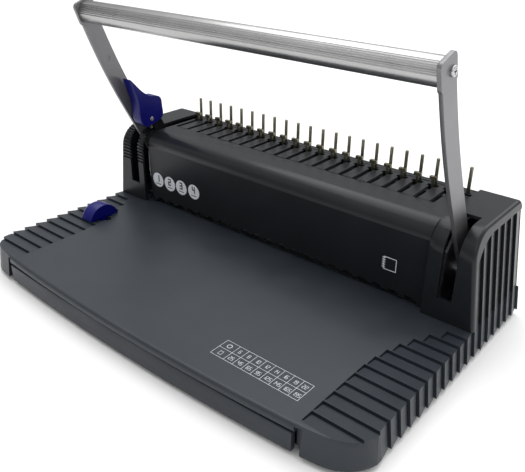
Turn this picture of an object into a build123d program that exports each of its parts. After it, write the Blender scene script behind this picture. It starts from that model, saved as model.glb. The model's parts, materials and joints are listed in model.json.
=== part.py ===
from build123d import *
import os
from math import atan2, cos, degrees, pi, radians, sin, sqrt, tan

# Comb binding machine, in millimetres. Z is up, X runs along the row of comb pins, the user
# stands on the -Y side. The origin is on the table, under the middle of the machine.

# comb spacing: the 9/16 inch pitch that plastic combs share
pitch = 14.2875
pin_count = 22
hook_count = 21
punch_count = 21

# overall body
depth = 253.0
rear_y = depth / 2
tray_z = 25.5            # top face of the paper tray
skirt_z = 4.0            # lower edge of the tray's skirt
edge_x = 200.0           # side edge of the tray at its top face
draft = 0.135            # how much the sides spread for each mm of drop
front_y = -119.5         # front edge of the tray, at its ends
front_bow = 5.8
lip_low_z = tray_z - 7     # underside of the bowed lip
lip_x = 157.5            # the bowed lip runs between the two corner blocks
plate_thick = 3.5
wall = 2.5

# housing over the mechanism
cover_x = 156.0
cover_front_y = 43.0
cover_top_z = 99.0
cover_round = 14.0
cheek_inner_x = 157.0
cheek_front_y = 38.5
cheek_top_z = 101.5
cheek_round = 21.5
rear_round = 7.0
mouth_rise = 5.2         # height of the paper mouth in the middle
mouth_drop = 2.0         # how much lower it is at its ends

# stepped grip treads on both sides
tread_pitch = 12.06
tread_first_y = -103.0   # the riser of the front tread
tread_count = 20
tread_depth = 2.0
tread_lead = 0.06        # each tread starts this far outside the surface it cuts
tread_bend_y = -48.0     # behind this the treads' inner ends curve outwards
groove_width = 1.0
groove_depth = 0.7

# slots for the two handle arms
slot_inner_x = 168.0
slot_outer_x = 180.0
slot_floor_z = tray_z + 18
slot_rear_y = 71.0
lever_slot_x = 160.5     # the opener lever's slot lies between here and the cover

# comb pins and hooks
pin_y = 113.5
pin_radius = 1.5
pin_top_z = tray_z + 95.7
pin_rail_z = tray_z + 54
hook_y = pin_y - 4.5
hook_top_z = tray_z + 81.5
hook_slot_front_y = pin_y - 35.5
hook_slot_half = 2.1     # half the width of a hook's slot
plate_z = tray_z + 67    # underside of the sliding hook plate

# steel frame
frame_x = 164.0
sheet = 2.0

# handle
shaft_y = pin_y - 35
shaft_z = tray_z + 27.5
shaft_radius = 5.0
arm_inner_x = 169.5
arm_thick = 3.0
arm_width = 17.5
arm_bend = (38.9, 125.5)
tube_centre = (-2.5, 218.0)
tube_radius = 9.4
tube_wall = 1.5
arm_screw_at = (tube_centre[0] + 3.4, tube_centre[1] + 0.6)
groove_count = 6

# punch drive: a pinion on the handle shaft and a rack on the punch bar, module 1
module = 1.0
pinion_teeth = 18
pinion_x = 128.0
pinion_face = 8.0
punch_y = pin_y - 54
punch_tip_z = tray_z + 6
die_thick = 4.0
throat = 5.0
post_x = 152.5
post_radius = 2.5
bar_z = tray_z + 24
bar_height = 10.0

# comb opener: sectors on the opener shaft and racks under the hook plate, module 1
opener_y = pin_y - 34
opener_z = tray_z + 42
opener_radius = 3.0
sector_teeth = 42
sector_x = 112.0
sector_face = 6.0

fit_gap = 0.05           # radial clearance of a shaft in its bush

handle_shaft_at = (shaft_y, shaft_z)
opener_shaft_at = (opener_y, opener_z)


def block(x0, x1, y0, y1, z0, z1):
    """A box between two corners."""
    centre = Pos((x0 + x1) / 2, (y0 + y1) / 2, (z0 + z1) / 2)
    return centre * Box(abs(x1 - x0), abs(y1 - y0), abs(z1 - z0))


def along_x(face, x0, x1):
    """Extrude a sketch, drawn as (y, z), from x0 to x1."""
    return extrude(Plane.YZ.offset(x0) * face, x1 - x0)


def rod_x(y, z, radius, x0, x1):
    """A round bar along X."""
    return along_x(Pos(y, z) * Circle(radius), x0, x1)


def rod_z(x, y, radius, z0, z1):
    """A round bar along Z."""
    return Pos(x, y, (z0 + z1) / 2) * Cylinder(radius, z1 - z0)


def spaced(count):
    """Centres of a row with the comb pitch, about X = 0."""
    return [(k - (count - 1) / 2) * pitch for k in range(count)]


def one_solid(shape):
    """The only solid of a shape."""
    return shape.solids()[0]


def both_sides(shape):
    """A piece and its mirror image, as separate solids."""
    return Compound(children=[*shape.solids(), *mirror(shape, Plane.YZ).solids()])


def group(shapes):
    """Separate solids that share a node."""
    return Compound(children=[solid for shape in shapes for solid in shape.solids()])


def save(name, shape):
    """Write one node."""
    export_step(shape, f"parts/{name}.step")


# gear teeth

def involute_flank(base, outer, steps=6):
    """Points (radius, angle) along an involute from the base circle out."""
    start = max(base, outer - 2.2 * module)
    radii = [start + (outer - start) * i / steps for i in range(steps + 1)]
    return [(r, sqrt((r / base) ** 2 - 1) - atan2(sqrt((r / base) ** 2 - 1), 1)) for r in radii]


def gear_face(teeth, phase, first=0, last=None):
    """A gear's outline about the origin; tooth 0 is centred on the phase angle, in radians."""
    last = teeth if last is None else last
    pitch_r = module * teeth / 2
    base = pitch_r * cos(radians(20))
    outer = pitch_r + 0.95 * module
    root = pitch_r - 1.25 * module
    flank = involute_flank(base, outer)
    roll = tan(radians(20)) - radians(20)
    half = pi / teeth / 2 + roll - 0.16 / pitch_r
    hub = Circle(root + 0.01)
    shape = hub
    for k in range(first, last):
        turn = phase + 2 * pi * k / teeth
        right = [(r, turn - half + a) for r, a in flank]
        left = [(r, turn + half - a) for r, a in reversed(flank)]
        foot = [(root - 0.3, left[-1][1])], [(root - 0.3, right[0][1])]
        outline = [*foot[1], *right, *left, *foot[0]]
        shape += make_face(Polyline(*[(r * cos(a), r * sin(a)) for r, a in outline], close=True))
    return shape


def rack_face(length, back, phase):
    """A straight rack along local X whose teeth point to -Y; the pitch line is Y = 0."""
    tooth = pi * module
    tip = 0.95 * module
    root = 1.25 * module
    slope = tan(radians(20))
    half_pitch = tooth / 4 - 0.16
    shape = Pos(0, (root + back) / 2) * Rectangle(length, back - root)
    first = -int(length / 2 / tooth) - 1
    for k in range(first, -first + 1):
        middle = phase + k * tooth
        if abs(middle) > length / 2 - tooth / 2:
            continue
        foot = half_pitch + (root + 0.05) * slope
        point = half_pitch - tip * slope
        shape += Pos(middle, 0) * Polygon(
            (-foot, root + 0.05), (-point, -tip), (point, -tip), (foot, root + 0.05), align=None
        )
    return shape


# treads

def side_edge(z):
    """X of the body's side at a height."""
    return edge_x + draft * (tray_z - z)


def tread_lines():
    """Front and rear Y of every tread."""
    rises = [tread_first_y + tread_pitch * k for k in range(tread_count)]
    return [(rise - tread_pitch, rise) for rise in rises]


def side_sawtooth(lines, z0, z1):
    """What a run of treads cuts out of the right side, leaning with the draft."""
    faces = []
    for z in (z0, z1):
        edge = side_edge(z)
        steps = [(edge + 6, lines[0][0])]
        for y0, y1 in lines:
            steps += [(edge + tread_lead, y0), (edge - tread_depth, y1)]
        steps.append((edge + 6, lines[-1][1]))
        faces.append(Pos(0, 0, z) * Polygon(*steps, align=None))
    return loft(faces)


def tread_inner_x(y, straight):
    """X of the treads' inner ends: straight along the tray, then curving outwards."""
    run = max(0.0, y - tread_bend_y)
    radius = 131.0
    return straight + radius - sqrt(radius ** 2 - run ** 2)


def tray_sawtooth(lines, straight):
    """What a run of treads cuts out of the right of the tray; each tread has a square inner end."""
    y_first, y_last = lines[0][0], lines[-1][1]
    steps = [(y_first, tray_z + 3)]
    for y0, y1 in lines:
        steps += [(y0, tray_z + tread_lead), (y1, tray_z - tread_depth)]
    steps.append((y_last, tray_z + 3))
    ramps = along_x(Polygon(*steps, align=None), 140, edge_x + 6)
    plan = [(edge_x + 6, y_last), (edge_x + 6, y_first - 1), (straight, y_first - 1)]
    x = straight
    for y0, y1 in lines:
        next_x = tread_inner_x(y1, straight)
        if next_x > x:
            plan += [(x, y0 + 0.04), (next_x, y0 + 0.04)]
        x = next_x
    plan.append((x, y_last))
    return ramps & (Pos(0, 0, tray_z - 5) * extrude(make_face(Polyline(*plan, close=True)), 10))


def tray_grooves(lines, straight):
    """Narrow grooves along the risers and the inner ends of the treads."""
    low = tray_z - tread_depth - groove_depth
    cuts = []
    for y0, y1 in lines:
        x = tread_inner_x(y1, straight)
        cuts.append(block(x + 0.03, edge_x + 6, y1 - groove_width, y1 + 0.03, low, tray_z + 1))
        cuts.append(block(x - 0.03, x + groove_width, y0 + 2, y1 - 0.5, low + 0.3, tray_z + 1))
    return cuts


def side_grooves(lines, z0, z1):
    """Narrow leaning grooves down the right side, in front of each riser."""
    cuts = []
    for y0, y1 in lines:
        faces = []
        for z in (z0, z1):
            inner = side_edge(z) - tread_depth - groove_depth
            outline = [(inner, y1 - groove_width), (inner + 12, y1 - groove_width), (inner + 12, y1 + 0.03),
                       (inner, y1 + 0.03)]
            faces.append(Pos(0, 0, z) * Polygon(*outline, align=None))
        cuts.append(loft(faces))
    return cuts


# base

def base_outline(z, inset=0.0, treads=()):
    """The body's plan at a height, with the treads' steps in its sides; the rear stays upright."""
    x = side_edge(z) - inset
    y = front_y - draft * (tray_z - z) + inset
    back = rear_y - inset
    end = lip_x + 5.5
    right = [
        Line((lip_x, y), (end, y + 1.5)),
        Line((end, y + 1.5), (end + 14, y + 3.6)),
        TangentArc((end + 14, y + 3.6), (x, y + 27), tangent=(14, 2.1)),
    ]
    steps = [(x, y + 27)]
    for y0, y1 in treads:
        steps += [(x, y0), (x - tread_depth, y1)]
    right.append(Polyline(*steps, (x, back)))
    left = [mirror(edge, Plane.YZ) for edge in right]
    front = ThreePointArc((-lip_x, y), (0, y - front_bow), (lip_x, y))
    rear = Line((-x, back), (x, back))
    return Pos(0, 0, z) * make_face(Curve() + [front, *right, rear, *left])


def base_tray():
    """The moulded tray with its skirt, treads and the opening for the mechanism."""
    lines = tread_lines()[2:]
    body = loft([base_outline(skirt_z, 0, lines), base_outline(tray_z, 0, lines)])
    lip = body.edges().group_by(Axis.Z)[-1].sort_by(Axis.Y)[0]
    body = fillet(lip, 3.0)
    top = [line for line in tread_lines() if line[1] < cheek_front_y]
    body -= tray_sawtooth(top, 158.5)
    body -= mirror(tray_sawtooth(top, 152.0), Plane.YZ)
    for cut in [*tray_grooves(top, 158.5), *side_grooves(lines, skirt_z - 1, tray_z + 1)]:
        body -= cut
    for cut in [*tray_grooves(top, 152.0), *side_grooves(lines, skirt_z - 1, tray_z + 1)]:
        body -= mirror(cut, Plane.YZ)
    hollow = loft([base_outline(skirt_z - 1, 5.5), base_outline(tray_z - plate_thick, 5.5)])
    body -= hollow
    body -= block(-lip_x, lip_x, front_y - 12, front_y + 6.5, 0, lip_low_z)
    under = [edge for edge in body.edges() if abs(edge.center().Z - lip_low_z) < 0.01]
    body = fillet(sorted(under, key=lambda edge: edge.center().Y)[0], 2.6)
    for side in (-1, 1):
        body -= block(side * lip_x, side * (lip_x + 5.5), front_y - 12, front_y + 3.2, 0, tray_z - 2)
    body -= block(-frame_x - 2.2, frame_x + 2.2, pin_y - 66, rear_y - 3, tray_z - 5, tray_z + 1)
    body -= block(-151, 151, rear_y - 6, rear_y + 1, 0, tray_z - 5.2)
    for x, y in stop_slots():
        body -= Pos(x, y, tray_z) * extrude(SlotOverall(26, 8), 8, both=True)
    for x, y in screw_places():
        body += rod_z(x, y, 4.0, 5, tray_z - plate_thick + 0.5) - rod_z(x, y, 1.5, 4, 15)
    return one_solid(body)


def bottom_pan():
    """The floor of the base, with the bowed front fascia under the tray's lip."""
    floor = extrude(base_outline(3, 9.0), 2)
    faces = []
    for z, reach in ((3.0, 7.0), (lip_low_z - 0.4, 4.6)):
        front = ThreePointArc((-156.5, front_y - 1.2), (0, front_y - reach), (156.5, front_y - 1.2))
        back = Polyline((156.5, front_y - 1.2), (156.5, front_y + 2.8), (-156.5, front_y + 2.8),
                        (-156.5, front_y - 1.2))
        faces.append(Pos(0, 0, z) * make_face(Curve() + [front, back]))
    fascia = loft(faces)
    web = block(-150, 150, front_y + 2, front_y + 9, 3, 5)
    pan = fascia + web + floor
    for x, y in foot_places():
        pan -= rod_z(x, y, 3.0, 0, 10)
    for x, y in screw_places():
        pan -= rod_z(x, y, 1.5, 0, 10)
    return one_solid(pan)


def foot_places():
    """Plan positions of the four feet."""
    return [(sx * 165, y) for sx in (-1, 1) for y in (-92, 104)]


def rubber_feet():
    """Four feet with pegs pressed through the pan."""
    feet = []
    for x, y in foot_places():
        pad = fillet(rod_z(x, y, 9.0, 0, 3).edges().group_by(Axis.Z)[0], 0.8)
        feet.append(pad + rod_z(x, y, 3.0, 3, 6))
    return group(feet)


def screw_places():
    """Plan positions of the six screws through the pan."""
    return [(sx * x, y) for sx in (-1, 1) for x, y in ((120, -98), (178, -36), (178, 60))]


def base_screws():
    """The screws that hold the pan to the bosses under the tray."""
    return group([rod_z(x, y, 3.6, 1.4, 3) + rod_z(x, y, 1.5, 3, 14) for x, y in screw_places()])


# housing covers

def front_profile(front, top, radius, low, rear, lean=0.0):
    """A face (y, z) with a round upper front corner."""
    start = (front + lean, low)
    edges = [
        Line(start, (front, top - radius)),
        RadiusArc((front, top - radius), (front + radius, top), radius),
        Line((front + radius, top), (rear, top)),
        Line((rear, top), (rear, low)),
        Line((rear, low), start),
    ]
    return make_face(Curve() + edges)


def mouth_height(x):
    """Height of the paper mouth above the tray."""
    return mouth_rise - mouth_drop * (x / 150.0) ** 2


def front_cover():
    """The middle cover: front face, round edge and slotted top."""
    outer = front_profile(cover_front_y, cover_top_z, cover_round, tray_z + 0.3, rear_y - 6.5, 1.5)
    inner = front_profile(cover_front_y + wall, cover_top_z - wall, cover_round - wall, tray_z - 1,
                          rear_y + 5, 1.5)
    cover = along_x(outer, -cover_x, cover_x) - along_x(inner, -cover_x - 1, cover_x + 1)
    arch = ThreePointArc((-150, tray_z + mouth_height(150)), (0, tray_z + mouth_height(0)),
                         (150, tray_z + mouth_height(150)))
    sill = Polyline((150, tray_z + mouth_height(150)), (150, tray_z - 1), (-150, tray_z - 1),
                    (-150, tray_z + mouth_height(150)))
    mouth = Plane.XZ * make_face(Curve() + [arch, sill])
    cover -= Pos(0, cover_front_y, 0) * extrude(mouth, 10, both=True)
    for x in spaced(punch_count):
        top = tray_z + mouth_height(x) + 2.2
        cover -= block(x - 3.6, x + 3.6, cover_front_y - 5, cover_front_y + 6, tray_z, top)
    for x in spaced(pin_count):
        cover -= rod_z(x, pin_y, pin_radius + 0.5, 90, 105)
        cover -= block(x - 4.8, x + 4.8, hook_y - 1.9, hook_y + 1.9, 90, 105)
    for x in spaced(pin_count)[:hook_count]:
        slot_end = hook_slot_front_y + hook_slot_half
        cover -= block(x - hook_slot_half, x + hook_slot_half, slot_end, hook_y, 90, 105)
        cover -= rod_z(x, slot_end, hook_slot_half, 90, 105)
    return one_solid(cover)


def rear_cover():
    """The back panel between the cheeks."""
    front = rear_y - 6.3
    radius = rear_round - 1
    edges = [
        Line((front, cover_top_z), (rear_y - radius, cover_top_z)),
        RadiusArc((rear_y - radius, cover_top_z), (rear_y, cover_top_z - radius), radius),
        Line((rear_y, cover_top_z - radius), (rear_y, tray_z + 0.2)),
        Line((rear_y, tray_z + 0.2), (rear_y - wall, tray_z + 0.2)),
        Line((rear_y - wall, tray_z + 0.2), (rear_y - wall, cover_top_z - radius)),
        RadiusArc((rear_y - wall, cover_top_z - radius), (rear_y - radius, cover_top_z - wall),
                  -(radius - wall)),
        Line((rear_y - radius, cover_top_z - wall), (front, cover_top_z - wall)),
        Line((front, cover_top_z - wall), (front, cover_top_z)),
    ]
    panel = along_x(make_face(Curve() + edges), -cover_x, cover_x)
    for k in range(9):
        x = (k - 4) * 16
        panel -= block(x - 5.5, x + 5.5, rear_y - 5, rear_y + 1, 44, 47)
    return one_solid(panel)


def cheek_solid(inset, inner_x):
    """The right cheek's outer form, shrunk by an inset on its front, top and rear."""
    top = cheek_top_z - inset
    back = rear_y - inset
    face = front_profile(cheek_front_y + inset, top, cheek_round - inset, tray_z + 0.2, back)
    form = along_x(face, inner_x, 205)
    side = side_edge(top) - inset
    low = side_edge(tray_z) - inset
    lean = Polygon((inner_x, tray_z + 0.2), (low, tray_z + 0.2), (side, top), (inner_x, top), align=None)
    form &= extrude(Plane.XZ.offset(-200) * lean, 400)
    return form


def round_cheek(form, radius, rear_radius):
    """Soften a cheek's rear top edge and the edge round its side."""
    rear_edges = form.edges().filter_by(Axis.X).sort_by(lambda e: -(e.center().Y + e.center().Z))
    form = fillet(rear_edges[0], rear_radius)
    rim = [e for e in form.edges() if e.center().X > 185 and e.center().Z > tray_z + 1]
    rim = [e for e in rim if e.center().Y < rear_y - 12]
    return fillet(rim, radius)


def right_cheek(inner_x):
    """The shell over one end of the mechanism, with the slot that the handle's arm swings in."""
    outer = round_cheek(cheek_solid(0, inner_x), 3.0, rear_round)
    hollow = cheek_solid(wall, inner_x - 5)
    low, high = side_edge(tray_z) - 5.0, side_edge(cheek_top_z) - 5.0
    keep = Polygon((100, tray_z - 5), (low, tray_z - 5), (high, cheek_top_z), (100, cheek_top_z), align=None)
    hollow &= extrude(Plane.XZ.offset(-200) * keep, 400)
    shell = outer - hollow - block(inner_x - 6, low - 1, cheek_front_y + wall, rear_y - wall, 20, tray_z + 3)
    shell -= block(slot_inner_x, slot_outer_x, cheek_front_y - 5, slot_rear_y, slot_floor_z, cheek_top_z + 5)
    lines = [line for line in tread_lines() if line[0] > cheek_front_y]
    shell -= cheek_sawtooth(lines)
    for cut in side_grooves(lines, tray_z - 4, cheek_top_z):
        shell -= cut & cheek_arch(lines)
    return shell


def cheek_arch(lines):
    """The arched outline that the treads fill on the cheek's side."""
    first, last = lines[0][0], lines[-1][1] + 2
    top = cheek_top_z - 7.5
    edges = [
        Line((first, tray_z - 3), (first, top - 22)),
        TangentArc((first, top - 22), (first + 34, top), tangent=(0.35, 1)),
        Line((first + 34, top), (last, top)),
        Line((last, top), (last, tray_z - 3)),
        Line((last, tray_z - 3), (first, tray_z - 3)),
    ]
    return along_x(make_face(Curve() + edges), 150, 220)


def cheek_sawtooth(lines):
    """What the treads cut out of the right cheek's side, under an arch."""
    return side_sawtooth(lines, tray_z - 4, cheek_top_z) & cheek_arch(lines)


def grip_ribs(inner_x):
    """Fine grooves across the front shoulder of the left cheek."""
    cuts = []
    centre = (cheek_front_y + cheek_round, cheek_top_z - cheek_round)
    for k in range(12):
        run = -12.0 + 3.4 * k
        angle = max(0.0, run / cheek_round)
        drop = min(0.0, run)
        y = centre[0] - cheek_round * cos(angle)
        z = centre[1] + cheek_round * sin(angle) + drop
        bar = Rot(-degrees(angle), 0, 0) * Box(60, 3.2, 1.9)
        cuts.append(Pos(inner_x + 30, y, z) * bar)
    return cuts


def left_cheek():
    """The left shell: it stops short of the cover, which leaves the opener lever's slot."""
    shell = right_cheek(lever_slot_x)
    for cut in grip_ribs(lever_slot_x - 1):
        shell -= cut
    return one_solid(mirror(shell, Plane.YZ))


# frame inside the housing

def side_frame():
    """The right steel side plate with its fixing flange."""
    y0, y1 = pin_y - 62, pin_y + 5
    outline = Polygon((y0, tray_z - 6), (y1, tray_z - 6), (y1, tray_z + 66), (y0 + 14, tray_z + 66),
                      (y0, tray_z + 50), align=None)
    plate = along_x(outline, frame_x, frame_x + sheet)
    plate += block(frame_x, frame_x + 13, y0 + 12, y1, tray_z, tray_z + sheet)
    plate -= rod_x(*handle_shaft_at, 7, 150, 180)
    plate -= rod_x(*opener_shaft_at, 5, 150, 180)
    for y in flange_screw_ys():
        plate -= rod_z(frame_x + 8.5, y, 2.0, 20, 40)
    return one_solid(plate)


def flange_screw_ys():
    """Where the frame's flange is screwed down."""
    return [pin_y - 44, pin_y - 6]


def frame_screws():
    """Pan-head screws through the frame's flanges."""
    screws = []
    for y in flange_screw_ys():
        head = rod_z(frame_x + 8.5, y, 3.4, tray_z + sheet, tray_z + sheet + 2)
        screws.append(head + rod_z(frame_x + 8.5, y, 2.0, tray_z, tray_z + sheet))
    return both_sides(group(screws))


def punch_plate(z0, z1, hole_gap):
    """A long steel plate with one rectangular hole for each punch."""
    plate = block(-frame_x, frame_x, punch_y - 12, punch_y + 12, z0, z1)
    for x in spaced(punch_count):
        plate -= block(x - 4 - hole_gap, x + 4 + hole_gap, punch_y - 1.5 - hole_gap,
                       punch_y + 1.5 + hole_gap, z0 - 1, z1 + 1)
    return plate


def die_plate():
    """The lower punch plate, level with the tray."""
    return one_solid(punch_plate(tray_z - die_thick, tray_z, 0.06))


def guide_plate():
    """The upper punch plate, which guides the punches and carries the posts."""
    plate = punch_plate(tray_z + throat, tray_z + throat + 3, 0.06)
    for side in (-1, 1):
        plate -= rod_z(side * post_x, punch_y, 2.0, 20, 50)
    return one_solid(plate)


def paper_backstop():
    """The bar that the sheets' edge meets, between the two punch plates."""
    return block(-frame_x, frame_x, punch_y + 4.5, punch_y + 9, tray_z, tray_z + throat)


def guide_posts():
    """Posts that the punch bar slides on."""
    foot_z = tray_z + throat
    post = rod_z(post_x, punch_y, post_radius, foot_z + 3, bar_z + bar_height + 10)
    post += rod_z(post_x, punch_y, 2.0, foot_z, foot_z + 3)
    return both_sides(post)


def return_springs():
    """Coil springs on the posts, under the punch bar."""
    low = tray_z + throat + 3 + 0.8
    high = bar_z - 0.8
    turns = 5
    path = Helix((high - low) / turns, high - low, 3.9)
    wire = Plane(origin=path @ 0, z_dir=path % 0) * Circle(0.6)
    coil = Pos(post_x, punch_y, low) * sweep(wire, path=path)
    return both_sides(coil)


def flanged_bush(at, bore, outer, flange, x0, flange_thick):
    """A sintered bush in the right side frame, flange outwards."""
    bush = rod_x(*at, outer, frame_x, frame_x + sheet)
    bush += rod_x(*at, flange, frame_x + sheet, frame_x + sheet + flange_thick)
    return bush - rod_x(*at, bore, x0, 180)


def shaft_bushes():
    """Bushes for the handle shaft."""
    return both_sides(flanged_bush(handle_shaft_at, shaft_radius + fit_gap, 7, 8, 160, 2.4))


def opener_bushes():
    """Bushes for the opener shaft."""
    return both_sides(flanged_bush(opener_shaft_at, opener_radius + fit_gap, 5, 6, 160, 1.2))


def pin_rail():
    """The bar that carries the comb pins between the side frames."""
    rail = block(-frame_x, frame_x, pin_y - 4, pin_y + 4, pin_rail_z, pin_rail_z + 8)
    for x in spaced(pin_count):
        rail -= rod_z(x, pin_y, pin_radius, pin_rail_z - 1, pin_rail_z + 9)
    return one_solid(rail)


def comb_pins():
    """The upright pins that hold the comb's spine."""
    pins = []
    for x in spaced(pin_count):
        pin = rod_z(x, pin_y, pin_radius, pin_rail_z, pin_top_z)
        pins.append(fillet(pin.edges().group_by(Axis.Z)[-1], pin_radius * 0.7))
    return group(pins)


def hook_guides():
    """Grooved rails under the cover that the hook plate slides in."""
    guide = block(151.9, cover_x, pin_y - 55.5, pin_y - 1.5, plate_z - 3, cover_top_z - wall)
    guide -= block(140, 154.0, pin_y - 70, pin_y, plate_z - 0.2, plate_z + sheet + 0.2)
    return both_sides(guide)


def drawer_rails():
    """Two strips on the pan that guide the chip drawer."""
    return both_sides(block(150.6, 154, pin_y - 60, rear_y - 8, 5, 12))


# handle and punch drive

def arm_sketch():
    """Side outline of an arm, as (y, z): straight from the shaft, then a slight curve."""
    straight = Line(handle_shaft_at, arm_bend)
    curve = TangentArc(arm_bend, tube_centre, tangent=straight % 1)
    outline = trace(Curve() + [straight, curve], arm_width)
    outline += Pos(*handle_shaft_at) * Circle(arm_width / 2 + 1.5)
    rise = curve % 1
    turn = degrees(atan2(rise.Y, rise.X))
    outline += Pos(*tube_centre) * (Rot(0, 0, turn) * RectangleRounded(20.6, 20.2, 4))
    return outline


def right_arm():
    """A pressed steel arm from the handle shaft to the end of the tube."""
    arm = along_x(arm_sketch(), arm_inner_x, arm_inner_x + arm_thick)
    arm -= rod_x(*handle_shaft_at, shaft_radius, 150, 180)
    arm -= rod_x(*arm_screw_at, 2.0, 150, 180)
    for y, z in ((14.5, 175.0), (38.9, 129.0)):
        arm -= rod_x(y, z, 2.6, arm_inner_x - 1, arm_inner_x + 0.5)
    return one_solid(arm)


def handle_tube():
    """The aluminium tube, with fine grip grooves along its front."""
    tube = rod_x(*tube_centre, tube_radius, -arm_inner_x, arm_inner_x)
    tube -= rod_x(*tube_centre, tube_radius - tube_wall, -180, 180)
    for k in range(groove_count):
        angle = radians(-2 + 10 * k)
        y = tube_centre[0] - (tube_radius + 0.1) * cos(angle)
        z = tube_centre[1] + (tube_radius + 0.1) * sin(angle)
        tube -= rod_x(y, z, 0.5, -180, 180)
    return one_solid(tube)


def tube_plugs():
    """Plugs inside the tube's ends, tapped for the arm screws."""
    plug = rod_x(*tube_centre, tube_radius - tube_wall, arm_inner_x - 16, arm_inner_x)
    return both_sides(plug - rod_x(*arm_screw_at, 2.0, 150, 180))


def arm_screws():
    """Cross-head screws that hold the arms to the tube."""
    face = arm_inner_x + arm_thick
    screw = rod_x(*arm_screw_at, 2.0, arm_inner_x - 14, face)
    head = rod_x(*arm_screw_at, 3.6, face, face + 2.0)
    head = fillet(head.edges().group_by(Axis.X)[-1], 1.0)
    y, z = arm_screw_at
    head -= block(face + 1.0, face + 3, y - 2.0, y + 2.0, z - 0.45, z + 0.45)
    head -= block(face + 1.0, face + 3, y - 0.45, y + 0.45, z - 2.0, z + 2.0)
    return both_sides(screw + head)


def handle_shaft():
    """The shaft that joins the arms and carries the pinions."""
    end = arm_inner_x + arm_thick
    return one_solid(rod_x(*handle_shaft_at, shaft_radius, -end, end) - rod_x(*handle_shaft_at, 2, end - 12, end)
                     - rod_x(*handle_shaft_at, 2, -end, -end + 12))


def shaft_end_screws():
    """Screws and washers that clamp the arms on the shaft."""
    end = arm_inner_x + arm_thick
    screw = rod_x(*handle_shaft_at, 8, end, end + 1.5) + rod_x(*handle_shaft_at, 5, end + 1.5, end + 4.5)
    return both_sides(screw + rod_x(*handle_shaft_at, 2, end - 12, end))


def pinion(side):
    """A pinion on the handle shaft; a tooth gap faces the rack."""
    teeth = gear_face(pinion_teeth, pi + pi / pinion_teeth)
    x0 = side * pinion_x - pinion_face / 2
    gear = along_x(Pos(*handle_shaft_at) * teeth, x0, x0 + pinion_face)
    gear += rod_x(*handle_shaft_at, 7, x0 + pinion_face, x0 + pinion_face + 3)
    return one_solid(gear - rod_x(*handle_shaft_at, shaft_radius, -180, 180))


def punch_racks():
    """Racks behind the punch bar, in mesh with the pinions."""
    pitch_y = shaft_y - module * pinion_teeth / 2
    back = pitch_y - (punch_y + 4)
    length = 28.0
    middle_z = shaft_z + 5 * module
    teeth = rack_face(length, back, shaft_z - middle_z)
    racks = []
    for side in (-1, 1):
        x0 = side * pinion_x - pinion_face / 2
        plane = Plane(origin=(x0, pitch_y, middle_z), x_dir=(0, 0, 1), z_dir=(1, 0, 0))
        racks.append(extrude(plane * teeth, pinion_face))
    return group(racks)


def punch_bar():
    """The bar that presses all the punches down together."""
    bar = block(-156.2, 156.2, punch_y - 4, punch_y + 4, bar_z, bar_z + bar_height)
    for side in (-1, 1):
        bar -= rod_z(side * post_x, punch_y, post_radius + fit_gap, 0, 80)
    for x in spaced(punch_count):
        bar -= block(x - 4, x + 4, punch_y - 1.5, punch_y + 1.5, bar_z - 1, bar_z + 6)
    return one_solid(bar)


def punches():
    """Flat punches, set in the bar."""
    return group([
        block(x - 4, x + 4, punch_y - 1.5, punch_y + 1.5, punch_tip_z, bar_z + 6)
        for x in spaced(punch_count)
    ])


# comb opener

def sector(side):
    """A toothed sector on the opener shaft; a tooth gap faces the rack above."""
    teeth = gear_face(sector_teeth, pi / 2 + pi / sector_teeth, first=-9, last=3)
    wheel = Pos(*opener_shaft_at) * teeth
    reach = module * sector_teeth
    cut = Polygon((0, 0), (-reach, reach * 1.9), (-reach * 2, 0), (-reach, -reach * 2),
                  (reach, -reach * 2), (reach * 2, -3), align=None)
    wheel -= Pos(*opener_shaft_at) * cut
    x0 = side * sector_x - sector_face / 2
    piece = along_x(wheel, x0, x0 + sector_face) + rod_x(*opener_shaft_at, 6, x0, x0 + sector_face + 4)
    return one_solid(piece - rod_x(*opener_shaft_at, opener_radius, -180, 180))


def opener_shaft():
    """The shaft that the opener lever turns."""
    return rod_x(*opener_shaft_at, opener_radius, -168.4, 168.4)


def opener_stem():
    """The flat steel stem of the lever, in the slot beside the cover."""
    top = (pin_y - 61, tray_z + 92)
    outline = trace(Line(opener_shaft_at, top), 12)
    outline += Pos(*opener_shaft_at) * Circle(8)
    outline += Pos(*top) * Circle(6)
    stem = along_x(outline, -159.7, -157.2)
    return one_solid(stem - rod_x(*opener_shaft_at, opener_radius, -170, -150))


def knob_outline():
    """Side outline of the thumb piece, as (y, z): a horn in front and a lobe behind."""
    y, z = pin_y, tray_z
    edges = [
        Spline((y - 86, z + 129), (y - 77, z + 119.5), (y - 68, z + 112), (y - 57, z + 108.5)),
        Spline((y - 57, z + 108.5), (y - 50, z + 104), (y - 49, z + 96), (y - 48.5, z + 88.5), (y - 54, z + 83.5)),
        Line((y - 54, z + 83.5), (y - 69, z + 79.5)),
        Spline((y - 69, z + 79.5), (y - 76, z + 85), (y - 78, z + 104), (y - 82, z + 117), (y - 86, z + 129)),
    ]
    return make_face(Curve() + edges)


def opener_knob():
    """The moulded thumb piece on the stem."""
    knob = along_x(knob_outline(), -167.3, -155.4)
    return one_solid(knob - opener_stem())


def hook_plate():
    """The sliding plate under the cover."""
    return block(-153.7, 153.7, pin_y - 38, pin_y - 3, plate_z, plate_z + sheet)


def comb_hooks():
    """T-headed hooks that pull the comb's rings open."""
    hooks = []
    for x in spaced(pin_count)[:hook_count]:
        neck = block(x - 1.1, x + 1.1, hook_y - 1.3, hook_y + 1.5, plate_z + sheet, hook_top_z)
        head = block(x - 3.4, x + 3.4, hook_y - 1.3, hook_y + 1.5, hook_top_z - 3.2, hook_top_z)
        hooks.append(neck + head)
    return group(hooks)


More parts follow.
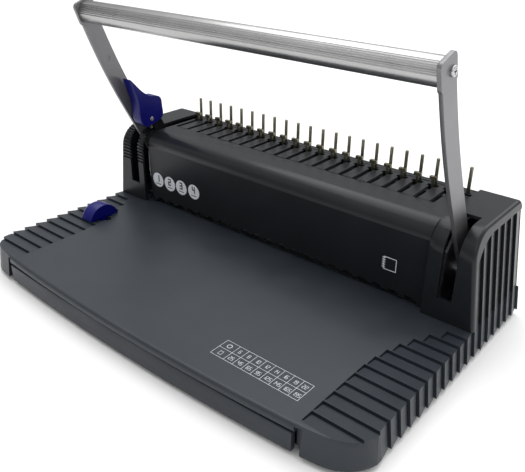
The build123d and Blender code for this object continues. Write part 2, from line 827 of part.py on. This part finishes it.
def hook_racks():
    """Racks under the hook plate, in mesh with the sectors."""
    pitch_z = opener_z + module * sector_teeth / 2
    back = plate_z - pitch_z
    length = 33.0
    middle_y = pin_y - 21.5
    racks = []
    for side in (-1, 1):
        x0 = side * sector_x - sector_face / 2
        plane = Plane(origin=(x0, middle_y, pitch_z), x_dir=(0, 1, 0), z_dir=(1, 0, 0))
        racks.append(extrude(plane * rack_face(length, back, opener_y - middle_y), sector_face))
    return group(racks)


# paper stop and chip drawer

def stop_slots():
    """Centres of the slot that the paper stop's foot slides in."""
    return [(-165.0, pin_y - 128.5)]


def paper_stop():
    """The half-round edge stop on the tray's left."""
    x, y = stop_slots()[0]
    radius = 17.0
    disc = Pos(y, tray_z + 0.3 - 4.3) * Circle(radius)
    disc &= Pos(y, tray_z + 0.3 + 20) * Rectangle(60, 40)
    body = along_x(disc, x - 13.5, x + 5)
    body = fillet([e for e in body.edges() if abs(e.center().X - (x - 13.5)) < 0.1
                   and e.center().Z > tray_z + 1], 6.0)
    neck = block(x - 4, x + 4, y - 3.6, y + 3.6, tray_z - plate_thick - 0.4, tray_z + 0.6)
    return one_solid(body + neck)


def stop_clip():
    """The clip that holds the stop's foot under the tray."""
    x, y = stop_slots()[0]
    top = tray_z - plate_thick - 0.4
    return block(x - 8, x + 8, y - 8, y + 8, top - 2, top)


def chip_drawer():
    """The drawer under the die that catches the punched chips."""
    y0, y1 = pin_y - 62, rear_y
    z0, z1 = 5.2, tray_z - 5.6
    box = block(-150, 150, y0, y1, z0, z1) - block(-148, 148, y0 + 2, y1 - 2.5, z0 + 2, z1 + 1)
    box -= Pos(0, y1, z0) * extrude(SlotOverall(40, 12), 4)
    return one_solid(box)


def build_parts():
    """Write every node."""
    os.makedirs("parts", exist_ok=True)
    nodes = {
        "base_tray": base_tray(),
        "bottom_pan": bottom_pan(),
        "rubber_feet": rubber_feet(),
        "base_screws": base_screws(),
        "front_cover": front_cover(),
        "rear_cover": rear_cover(),
        "left_cheek": left_cheek(),
        "right_cheek": one_solid(right_cheek(cheek_inner_x)),
        "left_side_frame": one_solid(mirror(side_frame(), Plane.YZ)),
        "right_side_frame": side_frame(),
        "frame_screws": frame_screws(),
        "die_plate": die_plate(),
        "guide_plate": guide_plate(),
        "paper_backstop": paper_backstop(),
        "guide_posts": guide_posts(),
        "return_springs": return_springs(),
        "shaft_bushes": shaft_bushes(),
        "opener_bushes": opener_bushes(),
        "pin_rail": pin_rail(),
        "comb_pins": comb_pins(),
        "hook_guides": hook_guides(),
        "drawer_rails": drawer_rails(),
        "left_arm": one_solid(mirror(right_arm(), Plane.YZ)),
        "right_arm": right_arm(),
        "handle_tube": handle_tube(),
        "tube_plugs": tube_plugs(),
        "arm_screws": arm_screws(),
        "handle_shaft": handle_shaft(),
        "shaft_end_screws": shaft_end_screws(),
        "left_pinion": pinion(-1),
        "right_pinion": pinion(1),
        "punch_racks": punch_racks(),
        "punch_bar": punch_bar(),
        "punches": punches(),
        "left_sector": sector(-1),
        "right_sector": sector(1),
        "opener_shaft": opener_shaft(),
        "opener_stem": opener_stem(),
        "opener_knob": opener_knob(),
        "hook_plate": hook_plate(),
        "comb_hooks": comb_hooks(),
        "hook_racks": hook_racks(),
        "paper_stop": paper_stop(),
        "stop_clip": stop_clip(),
        "chip_drawer": chip_drawer(),
    }
    for name, shape in nodes.items():
        save(name, shape)
        print(name, len(shape.solids()), round(shape.volume))


build_parts()
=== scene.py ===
import bmesh
import bpy
import json
import math
from mathutils import Matrix, Vector


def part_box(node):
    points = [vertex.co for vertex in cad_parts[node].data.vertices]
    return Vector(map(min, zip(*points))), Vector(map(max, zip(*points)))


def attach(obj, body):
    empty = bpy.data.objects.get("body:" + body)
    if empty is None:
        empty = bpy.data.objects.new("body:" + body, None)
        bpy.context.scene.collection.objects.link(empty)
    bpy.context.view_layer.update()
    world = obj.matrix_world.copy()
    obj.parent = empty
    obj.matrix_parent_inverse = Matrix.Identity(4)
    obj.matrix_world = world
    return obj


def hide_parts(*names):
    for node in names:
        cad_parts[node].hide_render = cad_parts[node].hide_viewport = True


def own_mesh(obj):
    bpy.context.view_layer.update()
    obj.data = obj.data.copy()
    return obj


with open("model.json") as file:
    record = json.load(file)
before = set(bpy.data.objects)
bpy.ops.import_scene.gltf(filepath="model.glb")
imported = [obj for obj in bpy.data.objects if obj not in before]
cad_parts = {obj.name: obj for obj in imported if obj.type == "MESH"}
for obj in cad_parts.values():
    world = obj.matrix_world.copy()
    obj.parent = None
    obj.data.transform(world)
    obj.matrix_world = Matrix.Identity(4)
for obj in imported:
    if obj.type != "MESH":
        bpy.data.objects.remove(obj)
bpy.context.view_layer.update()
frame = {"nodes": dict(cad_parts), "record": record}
nodes = frame["nodes"]
print("frame loaded:", len(nodes), "nodes")


# a shader socket that can be added, subtracted, multiplied and passed on
class Wire:
    def __init__(self, tree, socket):
        self.tree = tree
        self.socket = socket

    # any node: its settings come first, then the values or links of its sockets
    def make(self, kind, settings=None, inputs=None, output=0):
        node = self.tree.nodes.new(kind)
        for name, value in (settings or {}).items():
            setattr(node, name, value)
        for key, value in (inputs or {}).items():
            if isinstance(value, Wire):
                self.tree.links.new(value.socket, node.inputs[key])
            else:
                node.inputs[key].default_value = value
        return Wire(self.tree, node.outputs[output])

    def calculate(self, operation, first, second):
        return self.make("ShaderNodeMath", {"operation": operation}, {0: first, 1: second})

    def __add__(self, other):
        return self.calculate("ADD", self, other)

    def __radd__(self, other):
        return self.calculate("ADD", other, self)

    def __sub__(self, other):
        return self.calculate("SUBTRACT", self, other)

    def __rsub__(self, other):
        return self.calculate("SUBTRACT", other, self)

    def __mul__(self, other):
        return self.calculate("MULTIPLY", self, other)

    def __rmul__(self, other):
        return self.calculate("MULTIPLY", other, self)

    # values from low to high become 0 to 1, and those beyond are held there
    def ramp(self, low, high):
        return self.make("ShaderNodeMapRange", {"clamp": True}, {0: self, 1: low, 2: high})

    # the first colour at 0, the second at 1
    def tint(self, first, second):
        colours = {0: self, 6: (*first, 1.0), 7: (*second, 1.0)}
        return self.make("ShaderNodeMix", {"data_type": "RGBA"}, colours, 2)

    # coordinates stretched along each axis
    def stretch(self, scales):
        return self.make("ShaderNodeVectorMath", {"operation": "MULTIPLY"}, {0: self, 1: scales})

    def noise(self, scale, detail, roughness=0.55):
        settings = {"Vector": self, "Scale": scale, "Detail": detail, "Roughness": roughness}
        return self.make("ShaderNodeTexNoise", {}, settings)

    def bump(self, distance, strength):
        return self.make("ShaderNodeBump", {}, {"Height": self, "Distance": distance, "Strength": strength})


# noise swings about this middle, and most of it lies within this span
noiseMiddle = 0.5
noiseSpan = (0.3, 0.7)


# a new material: its object coordinates, and a call that fills its surface shader
def startMaterial(name):
    material = bpy.data.materials.new(name)
    material.use_nodes = True
    tree = material.node_tree
    shader = next(node for node in tree.nodes if node.type == "BSDF_PRINCIPLED")
    place = Wire(tree, None).make("ShaderNodeTexCoord", output="Object")

    def fill(values):
        for key, value in values.items():
            if isinstance(value, Wire):
                tree.links.new(value.socket, shader.inputs[key])
            else:
                shader.inputs[key].default_value = value
        return material
    return place, fill


plasticLooks = {
    "tray_plastic": {"base": (0.021, 0.026, 0.033), "light": (0.026, 0.032, 0.040), "rough": 0.40,
                     "spread": 0.10, "grain": 1500.0, "depth": 0.00004, "specular": 0.34},
    "housing_plastic": {"base": (0.0090, 0.0108, 0.0130), "light": (0.0115, 0.0136, 0.0162), "rough": 0.31,
                        "spread": 0.08, "grain": 1700.0, "depth": 0.00003, "specular": 0.27},
    "black_plastic": {"base": (0.016, 0.016, 0.017), "light": (0.022, 0.022, 0.023), "rough": 0.50,
                      "spread": 0.10, "grain": 1300.0, "depth": 0.00006, "specular": 0.45},
    "blue_plastic": {"base": (0.0015, 0.002, 0.105), "light": (0.002, 0.003, 0.135), "rough": 0.32,
                     "spread": 0.10, "grain": 1300.0, "depth": 0.00004, "specular": 0.24},
    "rubber": {"base": (0.018, 0.018, 0.018), "light": (0.030, 0.030, 0.030), "rough": 0.72,
               "spread": 0.15, "grain": 900.0, "depth": 0.00010, "specular": 0.35},
}
moulding = {"cloud": 38.0, "rubAlong": (900.0, 60.0, 900.0), "rubFrom": 0.60, "rubTo": 0.78, "rubRough": 0.05,
            "etching": 0.6}


# moulded plastic: fine etched grain, cloudy sheen and a trace of rubbing
def plastic(name):
    look = plasticLooks[name]
    place, fill = startMaterial(name)
    grain = place.noise(look["grain"], detail=2.0)
    cloud = place.noise(moulding["cloud"], detail=4.0)
    rub = place.stretch(moulding["rubAlong"]).noise(1.0, detail=2.0)
    shade = cloud.ramp(*noiseSpan).tint(look["base"], look["light"])
    rough = look["rough"] + look["spread"] * (cloud - noiseMiddle)
    rough += moulding["rubRough"] * rub.ramp(moulding["rubFrom"], moulding["rubTo"])
    return fill({"Base Color": shade, "Roughness": rough, "Specular IOR Level": look["specular"],
                 "Normal": grain.bump(look["depth"], moulding["etching"])})


# along holds the stretch on each axis, which is low where the brushing runs
metalLooks = {
    "screw_steel": {"base": (0.60, 0.60, 0.61), "dark": (0.40, 0.40, 0.41), "rough": 0.24,
                    "along": (300.0, 300.0, 300.0)},
    "plate_steel": {"base": (0.45, 0.46, 0.48), "dark": (0.30, 0.31, 0.33), "rough": 0.34,
                    "along": (40.0, 900.0, 900.0)},
    "zinc_steel": {"base": (0.28, 0.265, 0.20), "dark": (0.15, 0.142, 0.105), "rough": 0.32,
                   "along": (700.0, 700.0, 60.0)},
    "black_steel": {"base": (0.045, 0.045, 0.05), "dark": (0.02, 0.02, 0.022), "rough": 0.42,
                    "along": (400.0, 400.0, 90.0)},
    "satin_aluminium": {"base": (0.46, 0.46, 0.455), "dark": (0.41, 0.41, 0.405), "rough": 0.30,
                        "along": (18.0, 1500.0, 1500.0)},
}
brushing = {"cloud": 55.0, "streakShare": 0.6, "darkBelow": 0.34, "brightAbove": 0.62, "streakRough": 0.16,
            "cloudRough": 0.10, "depth": 0.00003, "strength": 0.35}


# bare metal with brushing along one axis and uneven sheen
def metal(name):
    look = metalLooks[name]
    place, fill = startMaterial(name)
    streak = place.stretch(look["along"]).noise(1.0, detail=3.0)
    cloud = place.noise(brushing["cloud"], detail=4.0)
    mixed = brushing["streakShare"] * streak + (1.0 - brushing["streakShare"]) * cloud
    shade = mixed.ramp(brushing["darkBelow"], brushing["brightAbove"]).tint(look["dark"], look["base"])
    rough = look["rough"] + brushing["streakRough"] * (streak - noiseMiddle)
    rough += brushing["cloudRough"] * (cloud - noiseMiddle)
    return fill({"Base Color": shade, "Roughness": rough, "Metallic": 1.0,
                 "Normal": streak.bump(brushing["depth"], brushing["strength"])})


silverLook = {"base": (0.15, 0.15, 0.157), "flake": (0.27, 0.27, 0.28), "flakeScale": 5200.0,
              "flakeFrom": 0.35, "flakeTo": 0.68, "metallic": 0.65, "rough": 0.40, "cloud": 45.0,
              "spread": 0.12, "coat": 0.15, "coatRough": 0.28, "peelScale": 420.0, "peelDepth": 0.00006,
              "peelStrength": 0.35}


# silver paint: fine flakes under a thin clear coat with slight orange peel
def silverPaint():
    look = silverLook
    place, fill = startMaterial("silver_paint")
    flake = place.noise(look["flakeScale"], detail=1.0).ramp(look["flakeFrom"], look["flakeTo"])
    peel = place.noise(look["peelScale"], detail=2.0)
    cloud = place.noise(look["cloud"], detail=3.0)
    return fill({"Base Color": flake.tint(look["base"], look["flake"]),
                 "Roughness": look["rough"] + look["spread"] * (cloud - noiseMiddle),
                 "Metallic": look["metallic"],
                 "Coat Weight": look["coat"], "Coat Roughness": look["coatRough"],
                 "Normal": peel.bump(look["peelDepth"], look["peelStrength"])})


inkLooks = {
    "badge_ink": {"base": (0.74, 0.76, 0.80), "worn": (0.62, 0.64, 0.68)},
    "table_ink": {"base": (0.62, 0.65, 0.68), "worn": (0.42, 0.45, 0.48)},
    "dark_ink": {"base": (0.035, 0.038, 0.042), "worn": (0.06, 0.062, 0.066)},
}
screenPrint = {"scale": 2600.0, "wornFrom": 0.62, "wornTo": 0.80, "rough": 0.46, "spread": 0.12,
               "depth": 0.00002, "strength": 0.4}


# screen-printed ink with slightly uneven cover
def ink(name):
    look = inkLooks[name]
    place, fill = startMaterial(name)
    cover = place.noise(screenPrint["scale"], detail=3.0)
    shade = cover.ramp(screenPrint["wornFrom"], screenPrint["wornTo"]).tint(look["base"], look["worn"])
    return fill({"Base Color": shade, "Roughness": screenPrint["rough"] + screenPrint["spread"] * cover,
                 "Normal": cover.bump(screenPrint["depth"], screenPrint["strength"])})


materials = {name: plastic(name) for name in plasticLooks}
materials.update({name: metal(name) for name in metalLooks})
materials.update({name: ink(name) for name in inkLooks})
materials["silver_paint"] = silverPaint()
print("materials made:", len(materials))


# finishes on the CAD nodes; the outer ones get rounded edges of these widths

slotOf = {row["node"]: row["material_slot"] for row in frame["record"]["subparts"]}
bevels = {
    "base_tray": 0.0006, "bottom_pan": 0.0008, "front_cover": 0.0006, "rear_cover": 0.0005,
    "left_cheek": 0.0005, "right_cheek": 0.0005, "left_arm": 0.0005, "right_arm": 0.0005,
    "opener_knob": 0.0016, "opener_stem": 0.0003, "paper_stop": 0.0007, "chip_drawer": 0.0005,
    "comb_hooks": 0.0003, "rubber_feet": 0.0004, "arm_screws": 0.00025, "handle_tube": 0.0002,
}
edgeLook = {"weldGap": 0.00002, "angle": math.radians(32), "wide": 0.001, "wideSegments": 3, "segments": 2}


# a weld and a small rounded edge, so that light catches the corners
def soften(part, width):
    weld = part.modifiers.new("weld", "WELD")
    weld.merge_threshold = edgeLook["weldGap"]
    bevel = part.modifiers.new("edges", "BEVEL")
    bevel.width = width
    bevel.segments = edgeLook["wideSegments"] if width > edgeLook["wide"] else edgeLook["segments"]
    bevel.limit_method = "ANGLE"
    bevel.angle_limit = edgeLook["angle"]
    bevel.harden_normals = True
    bevel.use_clamp_overlap = True
    bevel.miter_outer = "MITER_ARC"


for name, part in nodes.items():
    part.data.materials.clear()
    part.data.materials.append(materials[slotOf[name]])
    if name in bevels:
        soften(part, bevels[name])
print("finishes set")


# tools for the printed marks, trim and springs

def addObject(name, data):
    item = bpy.data.objects.new(name, data)
    bpy.context.scene.collection.objects.link(item)
    return item


def addPiece(name, mesh, material, body):
    piece = addObject(name, mesh)
    mesh.materials.append(materials[material])
    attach(piece, body)
    return piece


def finishMesh(name, work):
    mesh = bpy.data.meshes.new(name)
    work.to_mesh(mesh)
    work.free()
    return mesh


# a closed skin over rings of points, capped at the first ring and the last
def skin(work, rings):
    for low, high in zip(rings, rings[1:]):
        for k in range(len(low)):
            j = (k + 1) % len(low)
            work.faces.new((low[k], low[j], high[j], high[k]))
    work.faces.new(list(reversed(rings[0])))
    work.faces.new(rings[-1])


# a mesh from closed outlines, each extruded by a height along local Z
def slabMesh(name, outlines, height):
    work = bmesh.new()
    for outline in outlines:
        skin(work, [[work.verts.new((x, y, z)) for x, y in outline] for z in (0.0, height)])
    return finishMesh(name, work)


def rectangle(x0, y0, x1, y1):
    return [(x0, y0), (x1, y0), (x1, y1), (x0, y1)]


# four bars round a box; the upright ones stop a gap short of the others
def boxBars(x0, y0, x1, y1, line, gap):
    low, high = y0 + line + gap, y1 - line - gap
    return [rectangle(x0, y0, x1, y0 + line), rectangle(x0, y1 - line, x1, y1),
            rectangle(x0, low, x0 + line, high), rectangle(x1 - line, low, x1, high)]


def ringPoints(x, y, radius, count=48):
    turns = [2 * math.pi * k / count for k in range(count)]
    return [(x + radius * math.cos(turn), y + radius * math.sin(turn)) for turn in turns]


# seven-stroke digits, drawn as slim bars in a box one unit high
digitPitch = 0.62
strokes = {
    "a": (0.08, 0.93, 0.52, 1.0), "b": (0.48, 0.52, 0.55, 0.98), "c": (0.48, 0.02, 0.55, 0.48),
    "d": (0.08, 0.0, 0.52, 0.07), "e": (0.05, 0.02, 0.12, 0.48), "f": (0.05, 0.52, 0.12, 0.98),
    "g": (0.08, 0.465, 0.52, 0.535),
}
digitStrokes = {"0": "abcdef", "1": "bc", "2": "abged", "3": "abgcd", "4": "fgbc", "5": "afgcd",
                "6": "afgcde", "7": "abc", "8": "abcdefg", "9": "abcdfg"}


# outlines of a number; grow widens every stroke, as a share of the height
def digits(text, x, y, height, grow):
    outlines = []
    for k, letter in enumerate(text):
        left = digitPitch * k
        for x0, y0, x1, y1 in (strokes[stroke] for stroke in digitStrokes[letter]):
            outlines.append(rectangle(x + height * (left + x0 - grow), y + height * (y0 - grow),
                                      x + height * (left + x1 + grow), y + height * (y1 + grow)))
    return outlines


# the flat front of the cover, as y and z of its lower and upper ends, and how far a print stands off it
coverFront = {"low": (0.0445, 0.0258), "high": (0.0430, 0.0850), "gap": 0.00002}


# turns a flat mesh onto the cover: its X along the machine, its Y up the face
def onCover(mesh, x, z, lift):
    lowY, lowZ = coverFront["low"]
    highY, highZ = coverFront["high"]
    share = (z - lowZ) / (highZ - lowZ)
    along = Vector((1.0, 0.0, 0.0))
    up = Vector((0.0, highY - lowY, highZ - lowZ)).normalized()
    out = along.cross(up)
    spot = Vector((x, lowY + share * (highY - lowY), z)) + out * lift
    mesh.transform(Matrix.Translation(spot) @ Matrix((along, up, out)).transposed().to_4x4())


# round badges with a number over a short line
badgeRow = {"places": [(-0.1447, 0.0517), (-0.1276, 0.0517), (-0.1110, 0.0523), (-0.0935, 0.0527)],
            "radius": 0.0076, "thick": 0.00008, "numberX": -0.0021, "numberY": -0.0014,
            "numberHeight": 0.0066, "grow": 0.072, "underline": (-0.0036, -0.0046, 0.0036, -0.0038),
            "markThick": 0.00005, "markLift": 0.00012}


def addBadge(number, x, z):
    row = badgeRow
    disc = slabMesh("badge%d" % number, [ringPoints(0, 0, row["radius"])], row["thick"])
    onCover(disc, x, z, coverFront["gap"])
    addPiece("badge_%d" % number, disc, "badge_ink", "root")
    outlines = digits(str(number), row["numberX"], row["numberY"], row["numberHeight"], row["grow"])
    outlines.append(rectangle(*row["underline"]))
    mark = slabMesh("badgeMark%d" % number, outlines, row["markThick"])
    onCover(mark, x, z, row["markLift"])
    addPiece("badge_mark_%d" % number, mark, "dark_ink", "root")


for number, (x, z) in enumerate(badgeRow["places"], 1):
    addBadge(number, x, z)


bookMark = {"x": 0.1245, "z": 0.0535, "size": 0.0115, "line": 0.0006, "thick": 0.00006, "rings": 5,
            "firstRing": 0.7, "spareRings": 0.4, "ringOut": 0.0012, "ringIn": 0.0016, "ringLine": 0.0008}


# a plain picture of a bound book
def addBookMark():
    look = bookMark
    half = look["size"] / 2
    # with a gap of minus the line's width, the upright bars run through the corners
    outlines = boxBars(-half, -half, half, half, look["line"], -look["line"])
    pitch = look["size"] / (look["rings"] + look["spareRings"])
    for k in range(look["rings"]):
        y = -half + pitch * (k + look["firstRing"])
        outlines.append(rectangle(-half - look["ringOut"], y, -half + look["ringIn"], y + look["ringLine"]))
    book = slabMesh("bookMark", outlines, look["thick"])
    onCover(book, look["x"], look["z"], coverFront["gap"])
    addPiece("book_mark", book, "badge_ink", "root")


addBookMark()

sizeTable = {"x0": 0.070, "x1": 0.1465, "y0": -0.1020, "y1": -0.0835, "line": 0.00027, "gap": 0.05,
             "head": 0.0120, "digitShare": 0.19, "digitFoot": 0.75, "grow": 0.01, "thick": 0.00005,
             "lift": 0.00001, "rings": [6, 8, 10, 12, 14, 16, 19, 22],
             "sheets": [25, 45, 65, 95, 125, 145, 165, 195]}
tableSigns = {"ringOuter": 0.0021, "ringInner": 0.0016, "ringCount": 24, "sheetWide": 0.0030,
              "sheetHigh": 0.0040, "line": 0.0003, "gap": 0.0001}
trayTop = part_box("die_plate")[1].z


# the lines of a table of two rows; its gap is a share of the line's width
def tableLines(first, step):
    table = sizeTable
    x0, x1, y0, y1, wide = table["x0"], table["x1"], table["y0"], table["y1"], table["line"]
    middle = (y0 + y1) / 2
    gap = wide * table["gap"]
    edges = [x0] + [first + step * k for k in range(len(table["rings"]))] + [x1 - wide]
    outlines = [rectangle(x0, y, x1, y + wide) for y in (y0, middle, y1 - wide)]
    for x in edges:
        outlines += [rectangle(x, y0 + wide + gap, x + wide, middle - gap),
                     rectangle(x, middle + wide + gap, x + wide, y1 - wide - gap)]
    return outlines


# a small ring and a small sheet, which stand for the two rows
def tableHeads(x, ringY, sheetY):
    signs = tableSigns
    count = signs["ringCount"]
    outer = ringPoints(x, ringY, signs["ringOuter"], count)
    inner = ringPoints(x, ringY, signs["ringInner"], count)
    outlines = [[inner[k - 1], outer[k - 1], outer[k], inner[k]] for k in range(count)]
    acrossHalf, upHalf = signs["sheetWide"] / 2, signs["sheetHigh"] / 2
    return outlines + boxBars(x - acrossHalf, sheetY - upHalf, x + acrossHalf, sheetY + upHalf,
                              signs["line"], signs["gap"])


def addSizeTable():
    table = sizeTable
    first = table["x0"] + table["head"]
    step = (table["x1"] - first) / len(table["rings"])
    height = (table["y1"] - table["y0"]) * table["digitShare"]
    rows = {"rings": (table["y0"] + table["y1"]) / 2, "sheets": table["y0"]}
    outlines = tableLines(first, step)
    for row, bottom in rows.items():
        for k, value in enumerate(table[row]):
            text = str(value)
            margin = (step - digitPitch * height * len(text)) / 2
            outlines += digits(text, first + step * k + margin, bottom + height * table["digitFoot"], height,
                               table["grow"])
    # the signs stand in the head column, level with the middle of the digits
    lift = height * (table["digitFoot"] + 0.5)
    outlines += tableHeads(table["x0"] + table["head"] / 2, rows["rings"] + lift, rows["sheets"] + lift)
    mesh = slabMesh("sizeTable", outlines, table["thick"])
    mesh.transform(Matrix.Translation((0.0, 0.0, trayTop + table["lift"])))
    addPiece("size_table", mesh, "table_ink", "root")


addSizeTable()
print("prints made")

springs = {"wire": 0.0006, "turns": 5.0, "steps": 160, "sides": 10, "travel": 0.0092}


# a coil of wire as rings of points, from its foot to its top
def coilRings(work, foot, height, reach):
    rings = []
    for k in range(springs["steps"] + 1):
        share = k / springs["steps"]
        angle = 2 * math.pi * springs["turns"] * share
        out = Vector((math.cos(angle), math.sin(angle), 0.0))
        spot = foot + Vector((0.0, 0.0, share * height)) + out * reach
        rings.append([work.verts.new(spot + out * across + Vector((0.0, 0.0, up)))
                      for across, up in ringPoints(0, 0, springs["wire"], springs["sides"])])
    return rings


# two coil springs in place of the CAD ones, reaching up to the punch bar, built at one fixed length
def addSprings():
    low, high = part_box("return_springs")
    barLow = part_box("punch_bar")[0].z
    wire = springs["wire"]
    reach = (high.y - low.y) / 2 - wire
    middleY = (high.y + low.y) / 2
    centreX = high.x - reach - wire
    bottom, top = low.z + wire, min(high.z, barLow) - wire
    work = bmesh.new()
    for side in (-1, 1):
        skin(work, coilRings(work, Vector((side * centreX, middleY, bottom)), top - bottom, reach))
    bmesh.ops.recalc_face_normals(work, faces=work.faces)
    for face in work.faces:
        face.smooth = True
    mesh = finishMesh("coilSprings", work)
    coils = addPiece("coil_springs", mesh, "plate_steel", "root")
    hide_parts("return_springs")
    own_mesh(coils)


addSprings()

knobScrew = {"y": 0.0500, "z": 0.1120, "radius": 0.0021, "foot": -0.0004, "shoulder": 0.0003, "rise": 0.0005,
             "crown": 0.85, "recess": 0.0014, "recessFloor": 0.0001, "lobes": 6, "lobeDepth": 0.20}


# a round screw head with a six-point recess, on the inner side of the thumb piece
def addKnobScrew():
    screw = knobScrew
    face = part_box("opener_knob")[1].x
    work = bmesh.new()
    profile = ((screw["radius"], screw["foot"]), (screw["radius"], screw["shoulder"]),
               (screw["radius"] * screw["crown"], screw["rise"]))
    rings = [[work.verts.new((x, y, rise)) for x, y in ringPoints(0, 0, radius)] for radius, rise in profile]
    circle = ringPoints(0, 0, 1.0)
    for rise in (screw["rise"], screw["recessFloor"]):
        star = []
        for k, (x, y) in enumerate(circle):
            wave = math.cos(screw["lobes"] * 2 * math.pi * k / len(circle))
            reach = screw["recess"] * (1.0 - screw["lobeDepth"] + screw["lobeDepth"] * wave)
            star.append(work.verts.new((x * reach, y * reach, rise)))
        rings.append(star)
    skin(work, rings)
    mesh = finishMesh("knobScrew", work)
    mesh.transform(Matrix.Rotation(math.radians(90), 4, "Y"))
    mesh.transform(Matrix.Translation((face, screw["y"], screw["z"])))
    addPiece("knob_screw", mesh, "screw_steel", "opener")


addKnobScrew()
print("springs and screw made")


# floor, light and camera

floorLook = {"reach": 80.0, "dark": (0.86, 0.86, 0.86), "light": (0.88, 0.88, 0.88), "cloud": 3.0,
             "rough": 0.85, "specular": 0.1}


def floorMaterial():
    place, fill = startMaterial("studio_floor")
    cloud = place.noise(floorLook["cloud"], detail=2.0)
    shade = cloud.ramp(*noiseSpan).tint(floorLook["dark"], floorLook["light"])
    return fill({"Base Color": shade, "Roughness": floorLook["rough"],
                 "Specular IOR Level": floorLook["specular"]})


def addFloor():
    work = bmesh.new()
    reach = floorLook["reach"]
    work.faces.new([work.verts.new((x, y, 0.0)) for x, y in rectangle(-reach, -reach, reach, reach)])
    mesh = finishMesh("floor", work)
    mesh.materials.append(floorMaterial())
    floor = addObject("floor", mesh)


lightTarget = (0.0, 0.0, 0.08)
lights = {
    "rim": {"spot": (0.5, 1.2, 0.9), "size": (1.2, 0.6), "power": 4.0},
    "side": {"spot": (1.2, -0.5, 0.8), "size": (0.8, 0.8), "power": 2.0},
}


def addLight(name, row):
    data = bpy.data.lights.new(name, "AREA")
    data.shape = "RECTANGLE"
    data.size, data.size_y = row["size"]
    data.energy = row["power"]
    lamp = addObject(name, data)
    lamp.location = row["spot"]
    lamp.rotation_euler = (Vector(lightTarget) - Vector(row["spot"])).to_track_quat("-Z", "Y").to_euler()


# a very wide sun, which gives the soft shadow under the machine
sunLook = {"from": (-0.25, 0.30, 1.0), "power": 1.7, "spread": 55}


def addSun():
    data = bpy.data.lights.new("sky_light", "SUN")
    data.energy = sunLook["power"]
    data.angle = math.radians(sunLook["spread"])
    sun = addObject("sky_light", data)
    sun.rotation_euler = Vector(sunLook["from"]).to_track_quat("Z", "Y").to_euler()


skyLook = {"low": (0.16, 0.165, 0.17), "high": (1.0, 1.0, 1.0), "topAt": 0.8}


# a sky that is grey at the horizon and white overhead
def addSky():
    world = bpy.data.worlds.new("studio")
    bpy.context.scene.world = world
    world.use_nodes = True
    tree = world.node_tree
    backdrop = next(node for node in tree.nodes if node.type == "BACKGROUND")
    place = Wire(tree, None).make("ShaderNodeTexCoord", output="Generated")
    height = place.make("ShaderNodeSeparateXYZ", {}, {0: place}, 2)
    shade = height.ramp(0.0, skyLook["topAt"]).tint(skyLook["low"], skyLook["high"])
    tree.links.new(shade.socket, backdrop.inputs["Color"])


cameraLook = {"spot": (0.33207, -0.35946, 0.30459), "ahead": (-0.571, 0.682, -0.457), "roll": -0.57,
              "lens": 44.6, "sensor": 36.0, "near": 0.01}


def addCamera():
    data = bpy.data.cameras.new("camera")
    data.lens = cameraLook["lens"]
    data.sensor_width = cameraLook["sensor"]
    data.clip_start = cameraLook["near"]
    ahead = Vector(cameraLook["ahead"]).normalized()
    side = ahead.cross(Vector((0, 0, 1))).normalized()
    up = side.cross(ahead)
    turned = Matrix.Rotation(math.radians(cameraLook["roll"]), 3, ahead)
    axes = Matrix((turned @ side, turned @ up, -ahead)).transposed().to_4x4()
    camera = addObject("camera", data)
    camera.matrix_world = Matrix.Translation(cameraLook["spot"]) @ axes
    bpy.context.scene.camera = camera


addFloor()
for name, row in lights.items():
    addLight(name, row)
addSun()
addSky()
bpy.context.scene.view_settings.view_transform = "Standard"
addCamera()
print("stage set")
